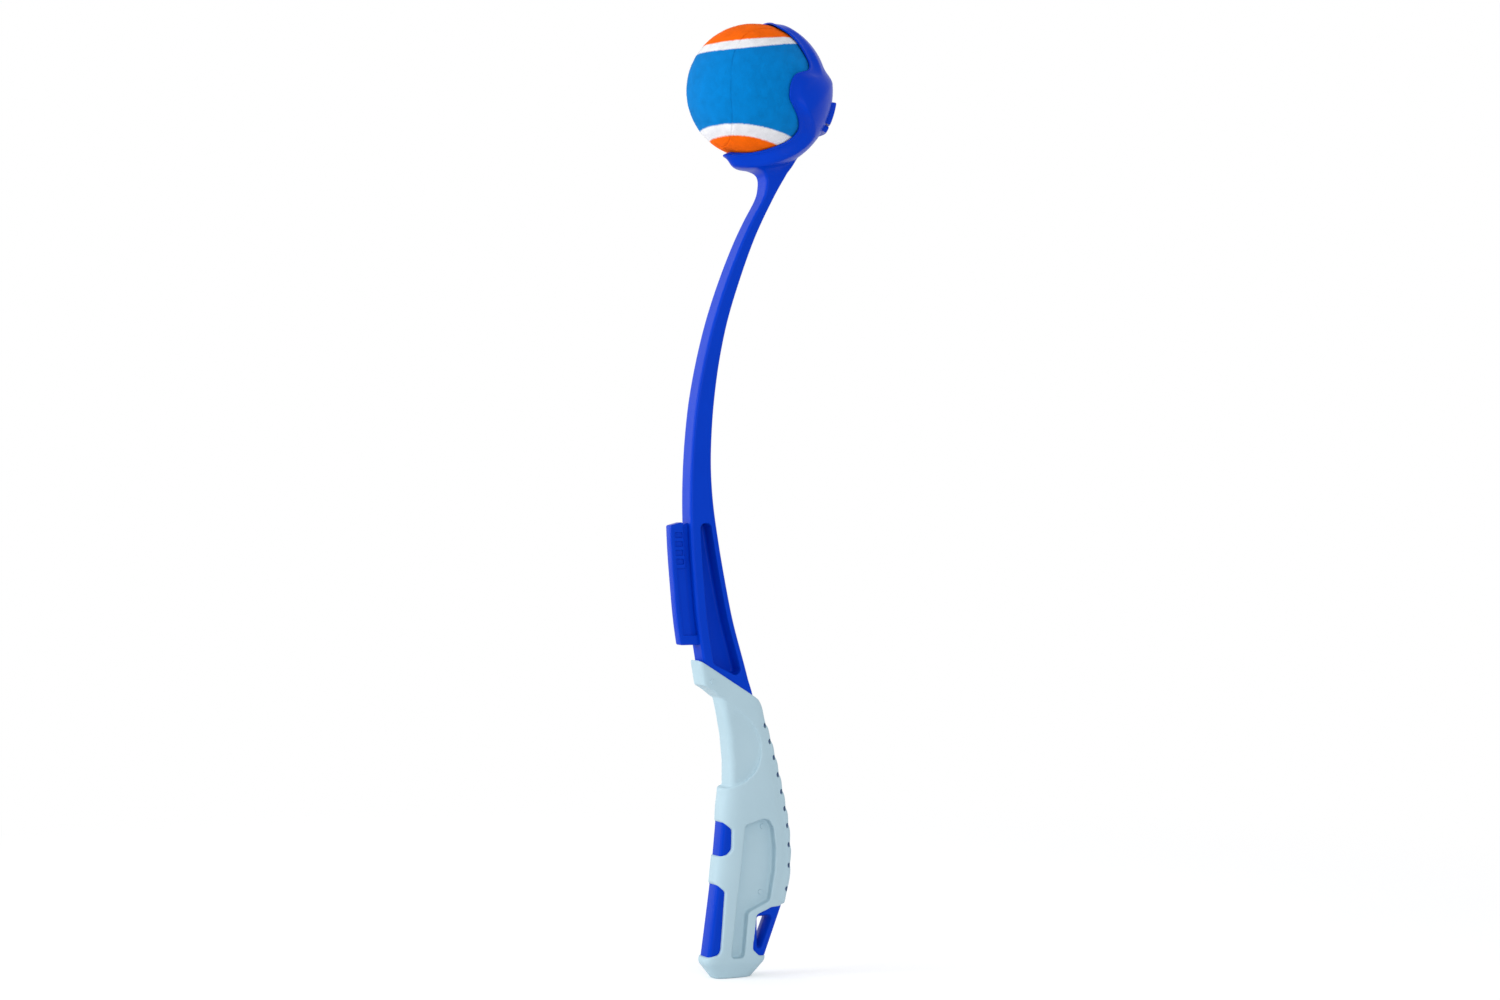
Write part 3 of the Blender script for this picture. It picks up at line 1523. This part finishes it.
    def hole(self, place: Point, side: Side, inner: float, outer: float, grow: float = 0) -> BMesh:
        """Make a small oval pin or cutter across one side of the ridge.

        Args:
            place: its middle in X and Z.
            side: the side of the thrower.
            inner: how far from the middle plane it starts.
            outer: how far from the middle plane it ends.
            grow: how much larger than the hole it is all round.

        Returns:
            The body, facing out.
        """
        made = bmesh.new()
        bmesh.ops.create_cone(made, cap_ends=True, segments=24, radius1=1, radius2=1, depth=outer - inner)
        bmesh.ops.transform(made, matrix=Matrix.Rotation(math.pi / 2, 4, "X"), verts=made.verts)
        size = (self.hole_width / 2 + grow, 1, self.hole_height / 2 + grow)
        bmesh.ops.scale(made, vec=size, verts=made.verts)
        middle = side.value * (inner + outer) / 2
        bmesh.ops.translate(made, vec=(place[0], middle, place[1]), verts=made.verts)
        return made

    def build(self, material: Material, arm: Arm) -> None:
        """Make the soft grip and dress it.

        Args:
            material: the grip's finish.
            arm: the arm that runs into the grip's collar.
        """
        grip = object_of(self.body(), "soft_grip")
        combine(grip, self.ridge(), Join.ADD)
        wide = self.width
        combine(grip, slab(self.scoop_outline(), -wide, wide), Join.CUT)
        half = self.core_width / 2 + self.scoop_skin
        scoop = slab(self.sized(self.scoop_body_shares), -half, half, self.scoop_edge, self.rim_segments)
        combine(grip, scoop, Join.ADD)
        openings = [self.cut_outline(shares) for shares in self.window_shares]
        for outline in (*openings, self.sized(self.collar_cut_shares)):
            combine(grip, slab(outline, -wide, wide), Join.CUT)
        floor = self.web / 2 + self.floor_play + self.floor_skin
        for side in Side:
            pocket = side_slab(self.cut_outline(self.side_pocket_shares), side, floor, wide)
            combine(grip, pocket, Join.CUT)
        self.soften(grip)
        levels = (half + self.mark_lift, floor, floor)
        for place, level in zip(self.sized(self.mark_shares), levels):
            for side in Side:
                combine(grip, self.mark(place, side, level), Join.ADD)
        self.hollow(grip, arm)
        for place in self.hole_places():
            for side in Side:
                combine(grip, self.hole(place, side, self.hole_floor, wide), Join.CUT)
        finish(grip, material, Slot.GRIP, "thrower", ["grip_sleeve"])

    def hollow(self, grip: Object, arm: Arm) -> None:
        """Cut the room for the core and the arm's foot out of the grip.

        Args:
            grip: the grip.
            arm: the arm whose foot runs into the collar.
        """
        play = self.clearance
        half = self.core_width / 2 + play
        plate = slab(grown(self.core_outline(), play), -half, half, self.core_edge, self.rim_segments)
        core = object_of(plate, "room")
        for side in Side:
            combine(core, self.core_recess(side, self.width, play), Join.CUT)
        hole = rounded(grown(self.sized(self.hole_shares), -play), self.corner)
        combine(core, slab(hole, -self.width, self.width), Join.CUT)
        first, count = self.foot_start_share, self.foot_steps
        steps = [first + self.foot_run_share * step / count for step in range(count + 1)]
        rear, front = ([arm.edge_point(along, side) for along in steps] for side in (1, -1))
        foot = object_of(slab(grown(rear + front[::-1], play), -half, half, arm.edge), "foot")
        combine(foot, self.foot_cutter(play), Join.CUT)
        for room in (core, foot):
            combine(grip, room, Join.CUT)

    def soften(self, grip: Object) -> None:
        """Melt the grip's edges, as the tool's rounded corners leave them in soft rubber.

        Args:
            grip: the grip.
        """
        remesh = grip.modifiers.new("remesh", "REMESH")
        remesh.mode = "VOXEL"
        remesh.voxel_size = self.voxel
        apply_modifiers(grip)

        def melt(made: BMesh) -> None:
            """Smooth every vertex a few times.

            Args:
                made: the grip's mesh.
            """
            for _ in range(self.melt):
                bmesh.ops.smooth_vert(
                    made, verts=made.verts, factor=0.5, use_axis_x=True, use_axis_y=True, use_axis_z=True,
                )

        edit(grip, melt)
        thin = grip.modifiers.new("thin", "DECIMATE")
        thin.ratio = self.kept_faces_share
        apply_modifiers(grip)


@dataclass
class FeltBall:
    """The ball: two dog-bone felt panels round rubber halves, the cement seam and the felt's nap. A
    border is its height on a ball of radius 1, its lean and its bow over the way across."""

    centre: Vector
    radius: float = 32
    felt_radius: float = 31.75
    felt_thickness: float = 2.2
    seam_width: float = 0.34
    seam_depth: float = 0.12
    seam_crown: float = 0.5
    seam_lap: float = 0.35
    seam_steps: int = 720
    seam_columns: int = 8
    roll_width: float = 0.7
    roll_depth: float = 0.2
    lump_size: float = 5
    lump_height: float = 0.18
    turn: float = math.radians(-136)
    swing: float = 0.25
    small_turn: float = 0.01
    across: tuple[float, float, float] = (0.891, -0.454, 0)
    upper_borders: Shares = ((0.525, 0.111, 0.117), (0.664, 0.099, 0.084))
    lower_borders: Shares = ((-0.617, -0.129, -0.154), (-0.774, -0.162, -0.215))
    end_share: float = 0.04
    rows: int = 150
    columns: int = 90
    seed: int = 7
    fibres: int = 36000
    fibre_length: float = 0.8
    fibre_shares: tuple[float, float] = (0.5, 1.2)
    fibre_width: float = 0.08
    fibre_root: float = 0.02
    fibre_reach: float = 32.2
    least_rise: float = 0.08
    more_rise: float = 0.32

    def seam_at(self, turn: float) -> Vector:
        """Give the seam's direction from the ball's centre, before the ball is turned.

        Args:
            turn: how far round the seam, a full turn for all of it.

        Returns:
            The direction.
        """
        x = (1 - self.swing) * math.cos(turn) + self.swing * math.cos(3 * turn)
        y = (1 - self.swing) * math.sin(turn) - self.swing * math.sin(3 * turn)
        z = 2 * math.sqrt(self.swing * (1 - self.swing)) * math.sin(2 * turn)
        return Vector((x, y, z)).normalized()

    def seam_side(self, turn: float) -> Vector:
        """Give the seam's sideways direction along the ball."""
        ahead = self.seam_at(turn + self.small_turn) - self.seam_at(turn - self.small_turn)
        return ahead.cross(self.seam_at(turn)).normalized()

    def placed(self, made: BMesh) -> BMesh:
        """Turn a body about the ball's centre and move it there.

        Args:
            made: the body, round the origin.

        Returns:
            The same body.
        """
        matrix = Matrix.Translation(self.centre) @ Matrix.Rotation(self.turn, 4, "Z")
        bmesh.ops.transform(made, matrix=matrix, verts=made.verts)
        return made

    def panel(self, side: int, seam: KDTree) -> BMesh:
        """Make one felt panel, its border rolled down into the seam.

        Args:
            side: 1 or -1, the side of the seam that the panel lies on.
            seam: the seam's points on a ball of radius 1.

        Returns:
            The panel's outer face, an open sheet.
        """
        inset = self.seam_width / 2 / self.radius
        start = -math.pi / 4 if side > 0 else math.pi / 4
        run = 1 - 2 * self.end_share
        made = bmesh.new()
        bmesh.ops.create_grid(made, x_segments=self.columns, y_segments=self.rows, size=1)
        for index, vert in enumerate(made.verts):
            row, column = divmod(index, self.columns + 1)
            spread = math.pi * (0.5 - 0.5 * math.cos(math.pi * (self.end_share + run * row / self.rows)))
            ends = []
            for way in (1, -1):
                turn = start + way * spread
                ends.append((self.seam_at(turn) - side * inset * self.seam_side(turn)).normalized())
            share = 0.5 - 0.5 * math.cos(math.pi * column / self.columns)
            direction = ends[0].slerp(ends[1], share)
            edge = max(seam.find(direction)[2] * self.radius - self.seam_width / 2, 0)
            sink = 1 - min(edge / self.roll_width, 1)
            drop = self.roll_depth * (1 - math.sqrt(max(1 - sink ** 2, 0)))
            lump = noise.noise(direction * self.radius / self.lump_size) * self.lump_height
            vert.co = direction * (self.felt_radius - drop + lump)
        bmesh.ops.recalc_face_normals(made, faces=made.faces)
        if sum(face.normal.dot(face.calc_center_median()) for face in made.faces) < 0:
            bmesh.ops.reverse_faces(made, faces=made.faces)
        return self.placed(made)

    def seam_strip(self) -> BMesh:
        """Make the line of cement between the panels, slightly crowned.

        Returns:
            The line, a closed ring.
        """
        half = self.seam_width / 2 + self.seam_lap
        rings = []
        for step in range(self.seam_steps + 1):
            turn = FULL_TURN * (step % self.seam_steps) / self.seam_steps
            point, side = self.seam_at(turn), self.seam_side(turn)
            ring = []
            for column in range(self.seam_columns):
                angle = FULL_TURN * column / self.seam_columns
                base = self.felt_radius - self.seam_depth - self.seam_crown
                out = base + self.seam_crown * math.sin(angle)
                ring.append(point * out + side * half * math.cos(angle))
            rings.append(ring)
        return self.placed(loft(rings))

    def nap(self) -> BMesh:
        """Make the felt's loose fibres, each a narrow three-sided spike that leans its own way. They
        are fewer and thicker than a real felt's, which would be too many faces.

        Returns:
            The fibres, facing out.
        """
        draw = random.Random(self.seed)
        made = bmesh.new()

        def any_way() -> Vector:
            """Draw a vector that may point any way."""
            return Vector([draw.gauss(0, 1) for _ in range(3)])

        for _ in range(self.fibres):
            out = any_way().normalized()
            along = out.cross(any_way()).normalized()
            aside = out.cross(along)
            rise = self.least_rise + self.more_rise * draw.random() ** 2
            reach = self.fibre_length * draw.uniform(*self.fibre_shares)
            root = out * (self.felt_radius - self.fibre_root)
            half = aside * self.fibre_width / 2
            tip = root + along * reach + out * min(rise * reach, self.fibre_reach - root.length)
            crest = root + out * self.fibre_width / 3 + along * self.fibre_width
            spike = (root - half, root + half, crest, tip)
            left, right, back, point = [made.verts.new(place) for place in spike]
            for corners in (
                (left, back, right), (left, point, back), (back, point, right), (right, point, left),
            ):
                made.faces.new(corners)
        bmesh.ops.recalc_face_normals(made, faces=made.faces)
        bmesh.ops.translate(made, vec=self.centre, verts=made.verts)
        return made

    def build(self, felt: NeedledFelt, cement: NeedledFelt, rubber: Material) -> None:
        """Make the felt, the seam and the nap, and dress them and the rubber halves.

        Args:
            felt: the felt's finish.
            cement: the seam's finish, printed over with the felt.
            rubber: the finish of the halves inside.
        """
        cloth = felt.material(self)
        seam = KDTree(self.seam_steps)
        for step in range(self.seam_steps):
            seam.insert(self.seam_at(FULL_TURN * step / self.seam_steps), step)
        seam.balance()
        for side, name in ((1, "upper"), (-1, "lower")):
            body = object_of(self.panel(side, seam), f"felt_{name}")
            wall = body.modifiers.new("wall", "SOLIDIFY")
            wall.thickness = self.felt_thickness
            wall.offset = -1
            apply_modifiers(body)
            finish(body, cloth, Slot.FELT, "ball", [f"felt_panel_{name}"])
        line = object_of(self.seam_strip(), "seam_line")
        finish(line, cement.material(self), Slot.CEMENT, "ball", ["felt_seam"])
        finish(object_of(self.nap(), "felt_nap"), felt.material(self, True), Slot.FELT, "ball", [])
        for name in ("ball_rubber_upper", "ball_rubber_lower"):
            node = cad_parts[name]
            node.data.materials.clear()
            node.data.materials.append(rubber)


# The studio


@dataclass(frozen=True)
class Lamp:
    """A soft lamp: where it hangs, in degrees, its width and height in metres, and its watts."""

    name: str
    azimuth: float
    elevation: float
    size: tuple[float, float]
    power: float


@dataclass
class Studio:
    """A white floor and background, soft light from all round and the camera, in metres and degrees."""

    target: Vector = field(default_factory=lambda: Vector((0, 0, 0.150)))
    azimuth: float = -27
    distance: float = 1.3
    view_width: float = 0.71505
    sensor: float = 36
    near_clip: float = 0.01
    ambient: float = 0.72
    ambient_colour: str = "#f7f8fb"
    floor_colour: str = "#eeeeee"
    floor_size: float = 6
    floor_lift: float = 0.3
    fade: tuple[float, float] = (0.2, 0.75)
    lamp_distance: float = 1.6
    lamps: tuple[Lamp, ...] = (
        Lamp("key", -99, 12, (0.8, 0.8), 13.5),
        Lamp("fill", -12, 8, (1.0, 1.0), 7),
        Lamp("strip", -153, 8, (0.5, 1.4), 3),
    )

    def hang(self, name: str, data: ID, azimuth: float, elevation: float, distance: float) -> Object:
        """Hang a camera or a lamp round the thrower, turned to its middle.

        Args:
            name: the object's name.
            data: the camera or the lamp.
            azimuth: its angle round the thrower from -Y, towards +X.
            elevation: its angle above the thrower's middle.
            distance: how far away it hangs.

        Returns:
            The object.
        """
        angle, lift = math.radians(azimuth), math.radians(elevation)
        away = Vector((math.sin(angle) * math.cos(lift), -math.cos(angle) * math.cos(lift), math.sin(lift)))
        hung = add_object(name, data)
        hung.location = self.target + away * distance
        hung.rotation_euler = (-away).to_track_quat("-Z", "Y").to_euler()
        return hung

    def camera(self) -> None:
        """Make the camera, level and in front of the thrower's near side."""
        data = bpy.data.cameras.new("camera")
        data.sensor_width = self.sensor
        data.lens = self.sensor * self.distance / self.view_width
        data.clip_start = self.near_clip
        bpy.context.scene.camera = self.hang("camera", data, self.azimuth, 0, self.distance)

    def seen(self, tree: NodeTree) -> Node:
        """Give 1 for the rays that see the background: the camera's, and those in gloss and glass.

        Args:
            tree: the node tree that needs them.

        Returns:
            The node that gives it.
        """
        path = add_node(tree, "ShaderNodeLightPath").outputs
        most: NodeInput = path["Is Camera Ray"]
        for kind in ("Is Glossy Ray", "Is Transmission Ray"):
            most = add_node(tree, "ShaderNodeMath", operation="MAXIMUM", i0=path[kind], i1=most)
        return most

    def floor(self, level: float) -> None:
        """Make the floor that the thrower stands on. It fades to the background's white.

        Args:
            level: the floor's height.
        """
        made = bmesh.new()
        bmesh.ops.create_grid(made, x_segments=1, y_segments=1, size=self.floor_size)
        bmesh.ops.translate(made, vec=(0, 0, level), verts=made.verts)
        floor = object_of(made, "floor")
        material, tree, surface, where = new_material("floor_paint")
        plug(
            tree, surface, Base_Color=linear(self.floor_colour), Roughness=0.9, Specular_IOR_Level=0.0,
        )
        under = (0, 0, level)
        away = add_node(tree, "ShaderNodeVectorMath", operation="DISTANCE", i0=where, i1=under)
        share = add_node(
            tree, "ShaderNodeMapRange", interpolation_type="SMOOTHSTEP", Value=away,
            From_Min=self.fade[0], From_Max=self.fade[1],
        )
        seen = self.seen(tree)
        far = add_node(tree, "ShaderNodeMath", operation="MULTIPLY", i0=share, i1=seen)
        lift = add_node(tree, "ShaderNodeMath", operation="MULTIPLY", i0=seen, i1=self.floor_lift)
        veil = add_node(tree, "ShaderNodeEmission", Color=WHITE, Strength=lift)
        near = add_node(tree, "ShaderNodeAddShader", i0=surface, i1=veil)
        glow = add_node(tree, "ShaderNodeEmission", Color=WHITE, Strength=1)
        mix = add_node(tree, "ShaderNodeMixShader", i0=far, i1=near, i2=glow)
        plug(tree, tree.nodes["Material Output"], Surface=mix)
        floor.data.materials.append(material)

    def world(self) -> None:
        """Make the world: even light, and plain white where the background is seen."""
        world = bpy.data.worlds.new("studio")
        bpy.context.scene.world = world
        world.use_nodes = True
        tree = world.node_tree
        light = tree.nodes["Background"]
        plug(tree, light, Color=linear(self.ambient_colour), Strength=self.ambient)
        white = add_node(tree, "ShaderNodeBackground", Color=WHITE, Strength=1)
        mix = add_node(tree, "ShaderNodeMixShader", i0=self.seen(tree), i1=light, i2=white)
        plug(tree, tree.nodes["World Output"], Surface=mix)

    def build(self, level: float) -> None:
        """Make the whole studio.

        Args:
            level: the floor's height.
        """
        self.camera()
        self.floor(level)
        self.world()
        for lamp in self.lamps:
            data = bpy.data.lights.new(lamp.name, "AREA")
            data.shape = "RECTANGLE"
            data.size, data.size_y = lamp.size
            data.energy = lamp.power
            self.hang(lamp.name, data, lamp.azimuth, lamp.elevation, self.lamp_distance)
        bpy.context.scene.view_settings.view_transform = "Standard"


def ball_centre() -> Vector:
    """Give the middle of the ball's rubber halves, in millimetres.

    Returns:
        The middle.
    """
    boxes = [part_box(name) for name in ("ball_rubber_upper", "ball_rubber_lower")]
    low = Vector(min(box[0][axis] for box in boxes) for axis in range(3))
    high = Vector(max(box[1][axis] for box in boxes) for axis in range(3))
    return (low + high) / 2 / MM


def main() -> None:
    """Build the studio and every sub-assembly, in order."""
    logging.basicConfig(level=logging.INFO, format="%(name)s %(message)s")
    Studio().build(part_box("grip_sleeve")[0].z)
    plastic = MouldedPolypropylene().material()
    centre = ball_centre()
    cup = BallCup(centre)
    arm = Arm(cup)
    handle = Handle()
    cup.build(plastic)
    arm.build(plastic, handle)
    handle.build(MouldedElastomer().material(), arm)
    cement = NeedledFelt("printed_seam_cement", level=0.97)
    FeltBall(centre).build(NeedledFelt(), cement, MouldedRubber().material())


if __name__ == "__main__":
    main()
